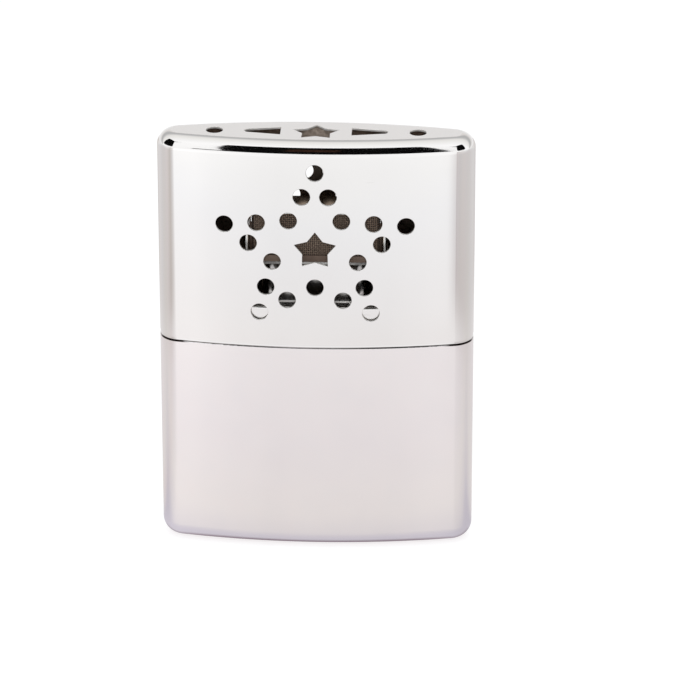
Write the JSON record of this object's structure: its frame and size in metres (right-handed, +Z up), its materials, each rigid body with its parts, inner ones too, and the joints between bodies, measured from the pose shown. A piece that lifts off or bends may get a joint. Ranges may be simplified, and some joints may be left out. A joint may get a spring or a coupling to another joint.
{
  "type": "catalytic hand warmer",
  "caption": "Pocket catalytic hand warmer: a lens-shaped metal fuel tank and a pull-off cap pierced with a star of round holes, over a lift-off burner",
  "frame": {"origin": "middle of the flat base on which the tank stands", "axes": "+X across the face to the right, -Y out of the front face, +Z up through the cap"},
  "size_m": [0.068, 0.016, 0.095],
  "materials": {
    "cap_metal": "bright nickel plate, softly polished",
    "tank_metal": "bright nickel plate, lightly mottled",
    "collar_metal": "nickel plate, satin",
    "burner_metal": "nickel plate, heat stained",
    "pierced_steel": "plain pierced sheet",
    "gauze": "woven wire, heat browned",
    "felt": "pressed felt",
    "cotton": "loose cotton",
    "glass_fibre": "fibre mat"
  },
  "bodies": {
    "tank": {"tank_shell": "tank_metal", "collar_deck": "collar_metal", "filler_neck": "collar_metal", "neck_screen": "pierced_steel", "wick_felt": "felt", "wadding": "cotton"},
    "cap": {"cap_shell": "cap_metal"},
    "burner": {"burner_seat": "burner_metal", "burner_floor": "pierced_steel", "burner_frame": "burner_metal", "front_gauze": "gauze", "rear_gauze": "gauze", "catalyst_mat": "glass_fibre"}
  },
  "joints": [
    {"name": "cap_lift", "type": "slide", "parent": "tank", "child": "cap", "axis": [0, 0, 1], "range_m": [0, 0.048]},
    {"name": "burner_lift", "type": "slide", "parent": "tank", "child": "burner", "axis": [0, 0, 1], "range_m": [0, 0.012]}
  ]
}
